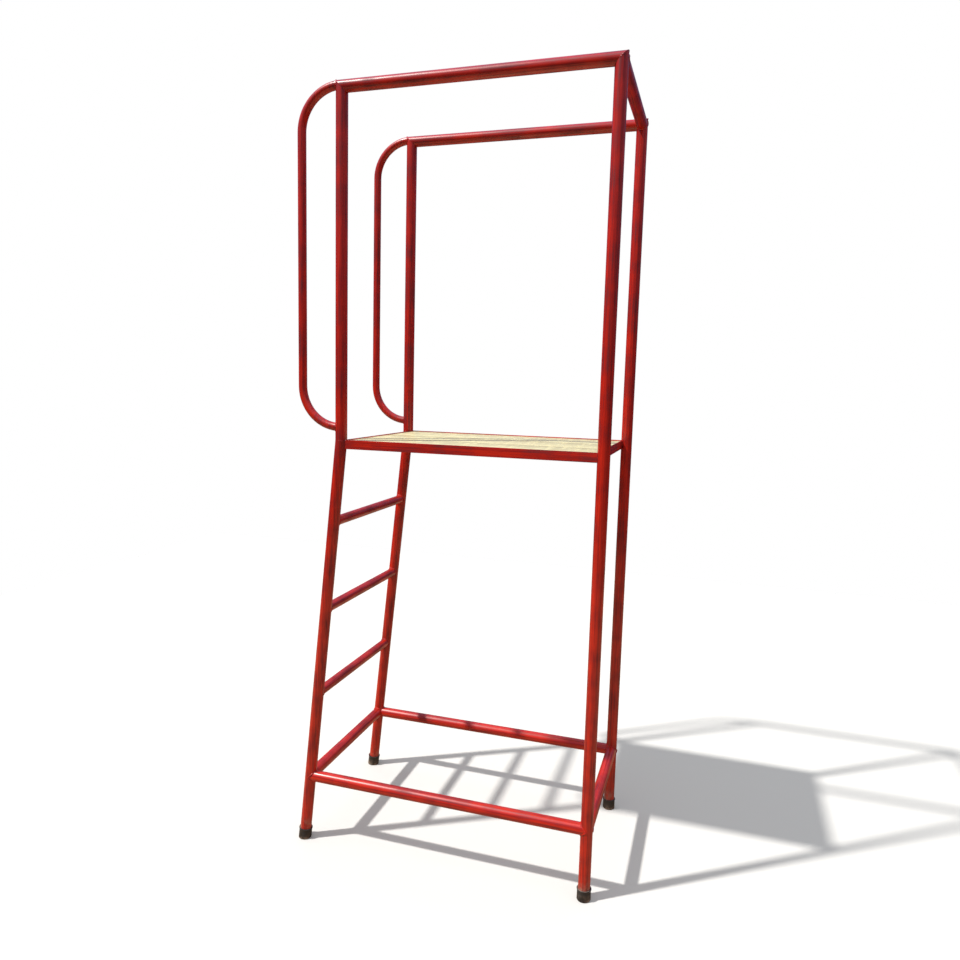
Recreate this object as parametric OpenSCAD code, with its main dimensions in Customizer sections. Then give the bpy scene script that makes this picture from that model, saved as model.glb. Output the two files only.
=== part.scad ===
// Welded tubular platform stand: a guarded timber deck 1.4 m up, reached by a raked
// three-rung ladder end with a grab loop at each side. Millimetres, +Z up.
// X runs from the ladder end to the far end, Y from the front side to the rear side.
// Lengths inside the modules are measured from the front ladder-end post's axis at floor
// level; place() then moves everything to the origin, the centre of the footprint.

/* [Frame] */
// Spacing of the post axes along X
frame_l = 847; // [700:1:1200]
// Spacing of the post axes along Y
frame_w = 554; // [450:1:800]
// Height of the top of the guard rails
overall_h = 2500; // [2300:1:3000]
// Height of the walking surface, where the ladder legs begin to rake
deck_h = 1400; // [1200:1:1600]
// Height of the axes of the four bars around the base
base_h = 232; // [140:1:300]

/* [Tubes] */
// Outside diameter of the posts, legs, rails and base bars
tube_d = 38; // [32:0.5:42]
// Wall of those tubes
tube_wall = 2.5; // [1.5:0.1:4]
// Outside diameter of the rungs, smaller than tube_d
rung_d = 32; // [25:0.5:34]
// Wall of the rungs
rung_wall = 2; // [1.5:0.1:4]
// Outside diameter of the grab loops, smaller than tube_d
loop_d = 27; // [20:0.5:32]
// Wall of the grab loops
loop_wall = 2; // [1.5:0.1:4]

/* [Ladder end] */
// How far the ladder legs' feet stand out from the posts above
leg_reach = 138; // [60:1:240]
// Height of the lowest rung's axis
rung_first_h = 535; // [420:1:540]
// Vertical distance between rungs
rung_pitch = 298; // [250:1:310]

/* [Grab loops] */
// Distance of the upright bar's axis from the post's axis
loop_reach = 139; // [100:1:220]
// Bend radius at the tube's axis, smaller than loop_reach
loop_bend_r = 130; // [60:1:135]
// Height of the loop's lower end above the walking surface
loop_rise = 42; // [25:1:150]

/* [Deck frame] */
// Width of each leg of the angle bars
angle_leg = 30; // [28:0.5:40]
// Thickness of the angle bars
angle_t = 3; // [2:0.5:5]
// How far the side bars' outer faces stand outside the post axes
side_out = 10; // [8:0.5:12]
// How far the end bars' outer faces stand inside the post axes
end_in = 15; // [14:0.5:18]

/* [Boards] */
// Thickness of the three boards, less than angle_leg - angle_t
board_t = 24; // [15:0.5:24]
// Gap between two boards
board_gap = 4; // [2:0.5:10]
// Gap between the boards and the upright legs of the angle bars
board_edge_gap = 1.5; // [0.5:0.5:4]
// Gap between the boards and the posts
board_notch_gap = 2; // [1:0.5:5]

/* [Board screws] */
// Shank diameter
screw_d = 5; // [4:0.5:6]
// Depth in the board
screw_depth = 16; // [10:1:17]
// Head diameter
screw_head_d = 10; // [8:0.5:12]
// Head height
screw_head_h = 3.2; // [2:0.1:4]
// Spacing of the two screws at each board's end
screw_pitch = 110; // [60:1:120]

/* [Feet] */
// Wall of the rubber ferrules
ferrule_wall = 2.85; // [1.85:0.05:7]
// How far the bead around a ferrule's mouth stands out
ferrule_bead = 1.25; // [0.5:0.05:4]
// Height of that bead
ferrule_bead_h = 4; // [2:0.5:8]
// Height of a ferrule
ferrule_h = 38; // [30:0.5:60]
// Rubber under the steel washer
ferrule_sole = 7; // [5:0.5:12]
// Thickness of the steel washer that the tube's end stands on
washer_t = 2; // [1:0.5:4]
// Diameter of its hole
washer_hole_d = 12; // [6:0.5:20]

/* [Welds] */
// Leg of a fillet weld, along the branch tube
weld_leg = 3; // [1.5:0.1:4]
// Height of a butt weld's bead over the tube
weld_crown = 0.9; // [0.4:0.1:2]
// Width of a butt weld's bead
weld_band = 5; // [3:0.5:8]

/* [Clearances] */
// Between a coped end and the tube it is welded to
cope_gap = 0.3; // [0.1:0.1:1]
// Radial, between a ferrule and its tube
ferrule_gap = 0.15; // [0.1:0.05:0.5]
// Radial, between a washer and the ferrule around it
washer_gap = 0.8; // [0.2:0.1:2]
// Diametral, in the angle bars' screw holes
screw_clearance = 0.6; // [0.2:0.1:1.5]
// Diametral, in the boards' screw holes
pilot_clearance = 0.1; // [0.05:0.05:0.4]

/* [Hidden] */
$fn = 192;
paint = "#b3211f";
pine = "#f2e2a4";
rubber = "#231f1f";
zinc = "#b9bcc0";
big = 3 * overall_h;
rail_h = overall_h - tube_d / 2;
rake = atan(leg_reach / deck_h);
loop_low_h = deck_h + loop_rise;
loop_high_h = overall_h - loop_d / 2;   // flush with the tops of the rails
cope_d = tube_d + 2 * cope_gap;
ferrule_d = tube_d + 2 * (ferrule_gap + ferrule_wall);
ferrule_bead_d = ferrule_d + 2 * ferrule_bead;
// The outermost points at the ladder end are the raked ferrules' soles
foot_min_x = -leg_reach - ferrule_d / 2 / cos(rake);
foot_max_x = frame_l + ferrule_bead_d / 2;
mid_x = (foot_min_x + foot_max_x) / 2;
tube_foot = ferrule_sole + washer_t;
// A small branch's fillet weld seats just off the main tube, and that of a branch as big as the
// main tube where its coped end does; both reach weld_d around the main tube
weld_seat = tube_d + 0.1;
weld_d = tube_d + 1.6 * weld_leg;
// Deck frame levels and edges
angle_z = deck_h - board_t - angle_t;
seat_z = angle_z + angle_t;
side_bar_start = end_in - 5;
board_x0 = end_in + angle_t + board_edge_gap;
board_x1 = frame_l - board_x0;
board_y0 = -side_out + angle_t + board_edge_gap;
board_y1 = frame_w - board_y0;
board_w = (board_y1 - board_y0 - 2 * board_gap) / 3;
screw_inset = end_in + angle_t + (angle_leg - angle_t) / 2;

// X of the ladder legs' axes at height z
function leg_x(z) = -leg_reach * (1 - z / deck_h);

module place() translate([-mid_x, -frame_w / 2, 0]) children();

// A solid round bar from point a to point b
module rod(a, b, d) {
  v = b - a;
  translate(a)
    rotate([0, acos(v[2] / norm(v)), atan2(v[1], v[0])])
      cylinder(h = norm(v), d = d);
}

// All that lies above the plane through p, tilted about Y, or below it
module above(p, tilt) translate(p) rotate([0, tilt, 0]) translate([-big / 2, -big / 2, 0]) cube(big);
module below(p, tilt) translate(p) rotate([0, tilt, 0]) translate([-big / 2, -big / 2, -big]) cube(big);

// All that lies on the turned +X side of an upright plane through p
module upright_half(p, turn)
  translate(p) rotate([0, 0, turn]) translate([0, -big / 2, -big / 2]) cube(big);

// A post's whole line, and a side rail's, past their mitres
module post_line(x, y, d) rod([x, y, deck_h - 2 * d], [x, y, overall_h + 2 * d], d);
module rail_line(y, d) rod([-2 * d, y, rail_h], [frame_l + 2 * d, y, rail_h], d);

// Outer envelopes of the uprights and rails, cut at their mitres. With d above tube_d they
// also cut the copes of what is welded to them.
module far_post_body(y, d, z0 = 0)
  difference() {
    rod([frame_l, y, z0], [frame_l, y, overall_h + d], d);
    above([frame_l, y, rail_h], -45);
  }
module ladder_post_body(y, d)
  difference() {
    rod([0, y, deck_h - d], [0, y, overall_h + d], d);
    above([0, y, rail_h], 45);
    below([0, y, deck_h], rake / 2);
  }
module leg_body(y, d, s0 = 0)
  difference() {
    translate([-leg_reach, y, 0]) rotate([0, rake, 0]) translate([0, 0, s0])
      cylinder(h = deck_h + d, d = d);
    above([0, y, deck_h], rake / 2);
  }
module side_rail_body(y, d)
  difference() {
    rod([-d, y, rail_h], [frame_l + d, y, rail_h], d);
    below([0, y, rail_h], 45);
    below([frame_l, y, rail_h], -45);
  }

module far_post(y)
  difference() {
    far_post_body(y, tube_d, tube_foot);
    rod([frame_l, y, 0], [frame_l, y, overall_h], tube_d - 2 * tube_wall);
  }
module ladder_post(y)
  difference() {
    ladder_post_body(y, tube_d);
    rod([0, y, deck_h - tube_d], [0, y, overall_h], tube_d - 2 * tube_wall);
  }
module ladder_leg(y)
  difference() {
    leg_body(y, tube_d, tube_foot);
    leg_body(y, tube_d - 2 * tube_wall);
  }
module side_rail(y)
  difference() {
    side_rail_body(y, tube_d);
    rod([-tube_d, y, rail_h], [frame_l + tube_d, y, rail_h], tube_d - 2 * tube_wall);
  }

// A tube along Y between the front and rear sides, coped to its children
module cross_tube(x, z, d, wall)
  difference() {
    rod([x, 0, z], [x, frame_w, z], d);
    rod([x, -1, z], [x, frame_w + 1, z], d - 2 * wall);
    children();
  }

// Grab loop: an upright bar and a quarter bend at each end, running into the post
module loop_body(y, d) {
  low_z = loop_low_h + loop_bend_r;
  high_z = loop_high_h - loop_bend_r;
  bend_x = loop_bend_r - loop_reach;
  rod([-loop_reach, y, low_z], [-loop_reach, y, high_z], d);
  translate([bend_x, y, high_z]) rotate([90, 0, 0]) rotate([0, 0, 90])
    rotate_extrude(angle = 90) translate([loop_bend_r, 0]) circle(d = d);
  translate([bend_x, y, low_z]) rotate([90, 0, 0]) rotate([0, 0, 180])
    rotate_extrude(angle = 90) translate([loop_bend_r, 0]) circle(d = d);
  for (z = [loop_low_h, loop_high_h])
    rod([bend_x, y, z], [0, y, z], d);
}
module grab_loop(y)
  difference() {
    loop_body(y, loop_d);
    loop_body(y, loop_d - 2 * loop_wall);
    post_line(0, y, cope_d);
  }

// Stretcher along X at the base, coped to the leg, the post and both base bars
module stretcher_body(y, d)
  rod([leg_x(base_h), y, base_h], [frame_l, y, base_h], d);
module stretcher(y)
  difference() {
    stretcher_body(y, tube_d);
    stretcher_body(y, tube_d - 2 * tube_wall);
    leg_body(y, cope_d);
    far_post_body(y, cope_d);
    for (x = [leg_x(base_h), frame_l])
      rod([x, 0, base_h], [x, frame_w, base_h], cope_d);
  }

module post_front_left() color(paint) place() ladder_post(0);
module post_rear_left() color(paint) place() ladder_post(frame_w);
module post_front_right() color(paint) place() far_post(0);
module post_rear_right() color(paint) place() far_post(frame_w);
module ladder_leg_front() color(paint) place() ladder_leg(0);
module ladder_leg_rear() color(paint) place() ladder_leg(frame_w);

module top_rail_front() color(paint) place() side_rail(0);
module top_rail_rear() color(paint) place() side_rail(frame_w);
// The end rail meets the posts below the mitre planes and the side rails above them
module top_rail_end()
  color(paint) place()
    difference() {
      union() {
        difference() {
          rod([frame_l, 0, rail_h], [frame_l, frame_w, rail_h], tube_d);
          for (y = [0, frame_w]) post_line(frame_l, y, cope_d);
          above([frame_l, 0, rail_h], -45);
        }
        difference() {
          rod([frame_l, 0, rail_h], [frame_l, frame_w, rail_h], tube_d);
          for (y = [0, frame_w]) rail_line(y, cope_d);
          below([frame_l, 0, rail_h], -45);
        }
      }
      rod([frame_l, -1, rail_h], [frame_l, frame_w + 1, rail_h], tube_d - 2 * tube_wall);
    }

module grab_loop_front() color(paint) place() grab_loop(0);
module grab_loop_rear() color(paint) place() grab_loop(frame_w);

module rung(i) {
  z = rung_first_h + i * rung_pitch;
  cross_tube(leg_x(z), z, rung_d, rung_wall)
    for (y = [0, frame_w]) leg_body(y, cope_d);
}
module rung_lower() color(paint) place() rung(0);
module rung_middle() color(paint) place() rung(1);
module rung_upper() color(paint) place() rung(2);

module base_bar_ladder_end()
  color(paint) place()
    cross_tube(leg_x(base_h), base_h, tube_d, tube_wall)
      for (y = [0, frame_w]) leg_body(y, cope_d);
module base_bar_far_end()
  color(paint) place()
    cross_tube(frame_l, base_h, tube_d, tube_wall)
      for (y = [0, frame_w]) far_post_body(y, cope_d);
module stretcher_front() color(paint) place() stretcher(0);
module stretcher_rear() color(paint) place() stretcher(frame_w);

// All four uprights around the deck, to cope the deck frame and notch the boards
module uprights(d)
  for (y = [0, frame_w]) {
    ladder_post_body(y, d);
    leg_body(y, d);
    far_post_body(y, d);
  }

// Swaps the front side for the rear side, or the ladder end for the far end
module to_rear() translate([0, frame_w, 0]) mirror([0, 1, 0]) children();
module to_far_end() translate([frame_l, 0, 0]) mirror([1, 0, 0]) children();

// Cuts its children's ends back to the uprights
module coped_to_uprights()
  difference() {
    children();
    uprights(cope_d);
  }

// Side angle bar: its flat leg points inwards under the boards, its upright leg is the rim
module side_angle()
  translate([side_bar_start, -side_out, angle_z]) {
    cube([frame_l - 2 * side_bar_start, angle_t, angle_leg]);
    cube([frame_l - 2 * side_bar_start, angle_leg, angle_t]);
  }
// End angle bar: its flat leg butts against the side bars' flat legs, and its upright leg
// stands on them and reaches the posts
module end_angle() {
  side_inner_y = angle_leg - side_out + cope_gap;
  difference() {
    union() {
      translate([end_in, 0, seat_z + cope_gap])
        cube([angle_t, frame_w, angle_leg - angle_t - cope_gap]);
      translate([end_in, side_inner_y, angle_z]) {
        cube([angle_leg, frame_w - 2 * side_inner_y, angle_t]);
        cube([angle_t, frame_w - 2 * side_inner_y, angle_leg]);
      }
    }
    screw_row(screw_d + screw_clearance);
  }
}
module deck_angle_front() color(paint) place() coped_to_uprights() side_angle();
module deck_angle_rear() color(paint) place() coped_to_uprights() to_rear() side_angle();
module deck_angle_ladder_end() color(paint) place() coped_to_uprights() end_angle();
module deck_angle_far_end() color(paint) place() coped_to_uprights() to_far_end() end_angle();

// Upright bores, or shanks, of the six screws at the ladder end
module screw_row(d)
  for (i = [0 : 2], side = [-1, 1])
    translate([
      screw_inset,
      board_y0 + board_w / 2 + i * (board_w + board_gap) + side * screw_pitch / 2,
      angle_z
    ])
      cylinder(h = angle_t + screw_depth, d = d);
module board(i)
  difference() {
    translate([board_x0, board_y0 + i * (board_w + board_gap), seat_z])
      cube([board_x1 - board_x0, board_w, board_t]);
    uprights(tube_d + 2 * board_notch_gap);
    screw_row(screw_d + pilot_clearance);
    to_far_end() screw_row(screw_d + pilot_clearance);
  }
module deck_board_front() color(pine) place() board(0);
module deck_board_middle() color(pine) place() board(1);
module deck_board_rear() color(pine) place() board(2);

// Pan-head screws driven up through the end bars into the boards
module screws_at_end() {
  screw_row(screw_d);
  for (i = [0 : 2], side = [-1, 1])
    translate([
      screw_inset,
      board_y0 + board_w / 2 + i * (board_w + board_gap) + side * screw_pitch / 2,
      angle_z - screw_head_h
    ])
      cylinder(h = screw_head_h, d1 = screw_head_d * 0.8, d2 = screw_head_d);
}
module board_screws()
  color(zinc) place() {
    screws_at_end();
    to_far_end() screws_at_end();
  }

// Moves its children to the foot of an upright, along the upright's own axis
module at_foot(x, y, tilt) translate([x, y, 0]) rotate([0, tilt, 0]) children();
module ferrule(x, y, tilt)
  difference() {
    at_foot(x, y, tilt)
      difference() {
        union() {
          translate([0, 0, -ferrule_sole]) cylinder(h = ferrule_h + ferrule_sole, d = ferrule_d);
          translate([0, 0, ferrule_h - ferrule_bead_h])
            cylinder(h = ferrule_bead_h, d = ferrule_bead_d);
        }
        translate([0, 0, ferrule_sole]) cylinder(h = ferrule_h, d = tube_d + 2 * ferrule_gap);
      }
    below([x, y, 0], 0);
  }
module washer(x, y, tilt)
  at_foot(x, y, tilt) translate([0, 0, ferrule_sole])
    difference() {
      cylinder(h = washer_t, d = tube_d + 2 * ferrule_gap - 2 * washer_gap);
      translate([0, 0, -1]) cylinder(h = washer_t + 2, d = washer_hole_d);
    }
module ferrule_front_left() color(rubber) place() ferrule(-leg_reach, 0, rake);
module ferrule_rear_left() color(rubber) place() ferrule(-leg_reach, frame_w, rake);
module ferrule_front_right() color(rubber) place() ferrule(frame_l, 0, 0);
module ferrule_rear_right() color(rubber) place() ferrule(frame_l, frame_w, 0);
module ferrule_washers()
  color(zinc) place()
    for (y = [0, frame_w]) {
      washer(-leg_reach, y, rake);
      washer(frame_l, y, 0);
    }

// Fillet weld around a branch tube that runs from a on the main tube's axis towards b: the
// shell that lies near both tubes. The main tube is the child.
module fillet(a, b, branch_d, main_a, main_b, seat_d = cope_d)
  difference() {
    intersection() {
      rod(a, b, branch_d + 2 * weld_leg);
      rod(main_a, main_b, weld_d);
    }
    rod(a - 0.5 * (b - a), a + 2 * (b - a), branch_d);
    rod(main_a - 0.5 * (main_b - main_a), main_a + 1.5 * (main_b - main_a), seat_d);
  }

module ladder_welds()
  for (i = [0 : 2]) {
    z = rung_first_h + i * rung_pitch;
    fillet([leg_x(z), 0, z], [leg_x(z), tube_d, z], rung_d,
           [leg_x(z - 2 * tube_d), 0, z - 2 * tube_d], [leg_x(z + 2 * tube_d), 0, z + 2 * tube_d],
           weld_seat);
  }
module welds_ladder()
  color(paint) place() {
    ladder_welds();
    to_rear() ladder_welds();
  }

// At each base corner the base bar's weld and the stretcher's weld meet on the upright plane
// halfway between the two tubes. leg is the upright's axis around the corner.
function upright_axis(x0, x1) = [
  [x0, 0, base_h - 2 * tube_d], [x1, 0, base_h + 2 * tube_d]
];
leg_axis = upright_axis(leg_x(base_h - 2 * tube_d), leg_x(base_h + 2 * tube_d));
far_axis = upright_axis(frame_l, frame_l);
module base_bar_weld(x, axis, turn)
  difference() {
    fillet([x, 0, base_h], [x, tube_d, base_h], tube_d, axis[0], axis[1]);
    upright_half([x, 0, base_h], turn);
  }
module stretcher_weld(x, side, axis, turn)
  difference() {
    fillet([x, 0, base_h], [x + side * tube_d, 0, base_h], tube_d, axis[0], axis[1]);
    upright_half([x, 0, base_h], turn);
  }
module base_bar_welds() {
  base_bar_weld(leg_x(base_h), leg_axis, -45);
  base_bar_weld(frame_l, far_axis, -135);
}
module stretcher_welds() {
  stretcher_weld(leg_x(base_h), 1, leg_axis, 135);
  stretcher_weld(frame_l, -1, far_axis, 45);
}
module welds_base_bars()
  color(paint) place() {
    base_bar_welds();
    to_rear() base_bar_welds();
  }
module welds_stretchers()
  color(paint) place() {
    stretcher_welds();
    to_rear() stretcher_welds();
  }

module loop_welds()
  for (z = [loop_low_h, loop_high_h])
    difference() {
      intersection() {
        rod([0, 0, z], [-2 * tube_d, 0, z], loop_d + 2 * weld_leg);
        post_line(0, 0, weld_d);
      }
      loop_body(0, loop_d);
      post_line(0, 0, weld_seat);
    }
module welds_grab_loops()
  color(paint) place() {
    loop_welds();
    to_rear() loop_welds();
  }

// Low bead around a butt joint between two lengths of tube_d: one half on each of them
module bead_half(a, b)
  difference() {
    rod(a, b, tube_d + 2 * weld_crown);
    rod(a - 0.5 * (b - a), b + 0.5 * (b - a), tube_d);
  }
module mitre_bead(x, tilt)
  difference() {
    union() {
      difference() {
        bead_half([x, 0, rail_h - 2 * tube_d], [x, 0, rail_h + 2 * tube_d]);
        above([x, 0, rail_h], tilt);
        translate([0, 0, -weld_band / 2]) below([x, 0, rail_h], tilt);
      }
      difference() {
        bead_half([x - 2 * tube_d, 0, rail_h], [x + 2 * tube_d, 0, rail_h]);
        below([x, 0, rail_h], tilt);
        translate([0, 0, weld_band / 2]) above([x, 0, rail_h], tilt);
      }
    }
    children();
  }
module end_rail_weld() {
  branch = [[frame_l, 0, rail_h], [frame_l, tube_d, rail_h]];
  difference() {
    fillet(branch[0], branch[1], tube_d,
           [frame_l, 0, rail_h - 2 * tube_d], [frame_l, 0, rail_h + 2 * tube_d]);
    above([frame_l, 0, rail_h], -45);
  }
  difference() {
    fillet(branch[0], branch[1], tube_d,
           [frame_l - 2 * tube_d, 0, rail_h], [frame_l + 2 * tube_d, 0, rail_h]);
    below([frame_l, 0, rail_h], -45);
  }
}
module corner_beads() {
  mitre_bead(0, 45)
    rod([0, 0, loop_high_h], [-2 * tube_d, 0, loop_high_h], loop_d + 2 * weld_leg);
  mitre_bead(frame_l, -45)
    rod([frame_l, 0, rail_h], [frame_l, 2 * tube_d, rail_h], tube_d + 2 * weld_leg);
}
module welds_top_corners()
  color(paint) place() {
    corner_beads();
    to_rear() corner_beads();
  }
module welds_end_rail()
  color(paint) place() {
    end_rail_weld();
    to_rear() end_rail_weld();
  }

post_front_left();
post_rear_left();
post_front_right();
post_rear_right();
ladder_leg_front();
ladder_leg_rear();
top_rail_front();
top_rail_rear();
top_rail_end();
grab_loop_front();
grab_loop_rear();
rung_lower();
rung_middle();
rung_upper();
base_bar_ladder_end();
base_bar_far_end();
stretcher_front();
stretcher_rear();
deck_angle_front();
deck_angle_rear();
deck_angle_ladder_end();
deck_angle_far_end();
deck_board_front();
deck_board_middle();
deck_board_rear();
board_screws();
ferrule_front_left();
ferrule_rear_left();
ferrule_front_right();
ferrule_rear_right();
ferrule_washers();
welds_ladder();
welds_base_bars();
welds_stretchers();
welds_grab_loops();
welds_top_corners();
welds_end_rail();
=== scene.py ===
# %% [markdown]
# # Dressing a welded platform stand
# The real object is a stand that someone climbs to watch or work from: four steel tube
# uprights, a raked ladder end with three rungs, a boarded deck inside a frame of angle bar,
# guard rails and two grab loops, all welded and brush painted red, on rubber ferrules.
# The CAD frame already holds its true sizes. It is loaded first and never moved, and each
# piece below is built again with finer curves, rounded edges and real weld beads.

# %% Load the frame
import math

import bpy
from mathutils import Matrix, Vector


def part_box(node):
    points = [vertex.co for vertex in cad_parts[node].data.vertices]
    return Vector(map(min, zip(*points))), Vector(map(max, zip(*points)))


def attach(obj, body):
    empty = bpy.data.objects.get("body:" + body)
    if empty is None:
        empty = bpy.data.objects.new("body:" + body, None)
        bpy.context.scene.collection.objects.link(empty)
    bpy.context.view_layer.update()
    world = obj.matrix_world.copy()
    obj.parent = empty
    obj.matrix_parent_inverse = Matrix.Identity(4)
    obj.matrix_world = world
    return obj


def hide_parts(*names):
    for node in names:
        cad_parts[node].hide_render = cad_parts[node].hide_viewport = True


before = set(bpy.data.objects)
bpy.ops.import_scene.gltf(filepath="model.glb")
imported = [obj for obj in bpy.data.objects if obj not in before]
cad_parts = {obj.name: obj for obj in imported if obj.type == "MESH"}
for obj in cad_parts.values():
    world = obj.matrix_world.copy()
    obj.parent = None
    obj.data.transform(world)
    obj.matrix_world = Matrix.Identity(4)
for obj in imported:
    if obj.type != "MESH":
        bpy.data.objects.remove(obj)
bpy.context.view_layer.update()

# %% [markdown]
# ## Read the places from the frame
# A welder sets everything out from the tube centre lines, so the script does the same. The
# centre lines come from the CAD nodes' boxes; only stock sizes, which a coarse mesh rounds
# a little, are written as numbers.

# %% Centre lines and stock sizes, in metres
def middle(node):
    low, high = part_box(node)
    return (low + high) / 2


TUBE_R = 0.019        # posts, legs, rails and base bars
RUNG_R = 0.016
LOOP_R = 0.0135
ANGLE_LEG = 0.030     # deck angle bar
ANGLE_T = 0.003
COPE_GAP = 0.0003     # left between a shaped tube end and the tube it meets

front_y = middle("post_front_left").y
rear_y = middle("post_rear_left").y
ladder_x = middle("post_front_left").x
far_x = middle("post_front_right").x
rail_z = middle("top_rail_front").z
base_z = middle("base_bar_far_end").z
deck_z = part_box("deck_board_middle")[1].z
angle_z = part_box("deck_angle_front")[0].z
foot_x = ladder_x - (ladder_x - middle("rung_middle").x) / (1 - middle("rung_middle").z / deck_z)
rake = math.atan2(ladder_x - foot_x, deck_z)
leg_up = Vector((math.sin(rake), 0, math.cos(rake)))
FRONT, REAR = (front_y, 1), (rear_y, -1)   # a side's y, and which way is inwards
print(f"ladder legs rake {math.degrees(rake):.2f} degrees, rails at {rail_z:.3f} m")


def leg_x(z):
    """X of a ladder leg's centre line at height z."""
    return ladder_x - (ladder_x - foot_x) * (1 - z / deck_z)


# %% [markdown]
# ## The camera
# The stand is seen from a little right of its front, at a standing person's eye height, with
# a wide lens close by. A tripod head has the same three angles: turn, tilt and roll.

# %% Camera
CAMERA_AT = (0.808, -2.489, 1.596)
CAMERA_TURN, CAMERA_TILT, CAMERA_ROLL = 17.34, -7.28, 1.45
camera_data = bpy.data.cameras.new("camera")
camera_data.sensor_width = 36
camera_data.lens = 28.6
camera = bpy.data.objects.new("camera", camera_data)
bpy.context.scene.collection.objects.link(camera)
camera.matrix_world = (
    Matrix.Translation(CAMERA_AT)
    @ Matrix.Rotation(math.radians(CAMERA_TURN), 4, "Z")
    @ Matrix.Rotation(math.radians(90 + CAMERA_TILT), 4, "X")
    @ Matrix.Rotation(math.radians(CAMERA_ROLL), 4, "Z")
)
bpy.context.scene.camera = camera
print("camera at", CAMERA_AT, "with a lens of", round(camera_data.lens, 1), "mm")

# %% [markdown]
# ## Floor and studio light
# The stand is on a plain pale floor in front of a pale backdrop. One strong, slightly soft
# light stands high on the ladder side; the room fills the rest, dim low down and bright
# overhead, and looks cooler in reflections than it is as light. The floor lights the tubes
# less than it looks, as if black cloth lay just out of shot. Glossy round tube shows all of
# this as long highlights, so a room that is bright all round would wash the red out.

# %% Floor
def clear_selection():
    """Operators act on what is selected, so each new piece starts from nothing selected."""
    bpy.ops.object.select_all(action="DESELECT")


FLOOR_PALE = (0.70, 0.705, 0.70, 1)
FLOOR_BOUNCE = (0.38, 0.27, 0.18, 1)
FLOOR_SIZE, FLOOR_DROP = 8, 0.0005    # just under the soles, so that nothing flickers
MIX_FIRST, MIX_SECOND, MIX_RESULT = 6, 7, 2   # a Mix node's colour sockets

clear_selection()
bpy.ops.mesh.primitive_plane_add(size=FLOOR_SIZE, location=(0, 0, -FLOOR_DROP))
floor = bpy.context.object
floor.name = "floor"
floor_paint = bpy.data.materials.new("pale_floor")
floor_paint.use_nodes = True
tree = floor_paint.node_tree
floor_shader = tree.nodes["Principled BSDF"]
floor_shader.inputs["Roughness"].default_value = 0.9
floor_shader.inputs["Specular IOR Level"].default_value = 0.0
ray = tree.nodes.new("ShaderNodeLightPath")
mix = tree.nodes.new("ShaderNodeMix")
mix.data_type = "RGBA"
mix.inputs[MIX_FIRST].default_value = FLOOR_BOUNCE
mix.inputs[MIX_SECOND].default_value = FLOOR_PALE
tree.links.new(ray.outputs["Is Camera Ray"], mix.inputs["Factor"])
tree.links.new(mix.outputs[MIX_RESULT], floor_shader.inputs["Base Color"])
floor.data.materials.append(floor_paint)
print("floor", tuple(round(side, 2) for side in floor.dimensions))

# %% Main light
KEY_HEIGHT = math.radians(55)
KEY_TOWARDS = Vector((0.822 * math.cos(KEY_HEIGHT), 0.569 * math.cos(KEY_HEIGHT),
                      -math.sin(KEY_HEIGHT)))
clear_selection()
bpy.ops.object.light_add(type="SUN", location=-5 * KEY_TOWARDS)
key = bpy.context.object
key.name = "key_light"
key.data.energy = 3.8
key.data.angle = math.radians(2)
key.data.color = (1.0, 0.96, 0.90)
key.rotation_euler = KEY_TOWARDS.to_track_quat("-Z", "Y").to_euler()
print("main light shines towards", tuple(round(v, 2) for v in KEY_TOWARDS))

# %% Room light
ROOM_LOW = (0.03, 0.03, 0.035, 1)
ROOM_HIGH = (0.90, 0.91, 0.94, 1)
COOL_GLOSS = (0.62, 0.66, 1.20, 1)
world = bpy.data.worlds.new("studio")
bpy.context.scene.world = world
world.use_nodes = True
room = world.node_tree
room.nodes.clear()
direction = room.nodes.new("ShaderNodeTexCoord").outputs["Generated"]
height = room.nodes.new("ShaderNodeSeparateXYZ")
room.links.new(direction, height.inputs[0])
fade = room.nodes.new("ShaderNodeMix")
fade.data_type = "RGBA"
fade.inputs[MIX_FIRST].default_value = ROOM_LOW
fade.inputs[MIX_SECOND].default_value = ROOM_HIGH
room.links.new(height.outputs["Z"], fade.inputs["Factor"])
surround = room.nodes.new("ShaderNodeBackground")
room.links.new(fade.outputs[MIX_RESULT], surround.inputs["Color"])
tint = room.nodes.new("ShaderNodeMix")
tint.data_type = "RGBA"
tint.blend_type = "MULTIPLY"
tint.inputs["Factor"].default_value = 1.0
tint.inputs[MIX_SECOND].default_value = COOL_GLOSS
room.links.new(fade.outputs[MIX_RESULT], tint.inputs[MIX_FIRST])
mirrored = room.nodes.new("ShaderNodeBackground")
room.links.new(tint.outputs[MIX_RESULT], mirrored.inputs["Color"])
lit = room.nodes.new("ShaderNodeMixShader")
backdrop = room.nodes.new("ShaderNodeBackground")
backdrop.inputs["Color"].default_value = (1, 1, 1, 1)
seen = room.nodes.new("ShaderNodeLightPath")
either = room.nodes.new("ShaderNodeMixShader")
world_out = room.nodes.new("ShaderNodeOutputWorld")
room.links.new(seen.outputs["Is Glossy Ray"], lit.inputs["Fac"])
room.links.new(surround.outputs[0], lit.inputs[1])
room.links.new(mirrored.outputs[0], lit.inputs[2])
room.links.new(seen.outputs["Is Camera Ray"], either.inputs["Fac"])
room.links.new(lit.outputs[0], either.inputs[1])
room.links.new(backdrop.outputs[0], either.inputs[2])
room.links.new(either.outputs[0], world_out.inputs["Surface"])
bpy.context.scene.view_settings.view_transform = "Standard"
print("world", world.name, "with", len(room.nodes), "nodes")

# %% [markdown]
# ## Shared effects as node groups
# Brush paint, dust and wood grain each appear in more than one finish, so each is a node
# group with named inputs. A group gives out colours and values that change over the surface;
# the shader itself stays in the material, where its fixed gloss values are set.

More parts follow.
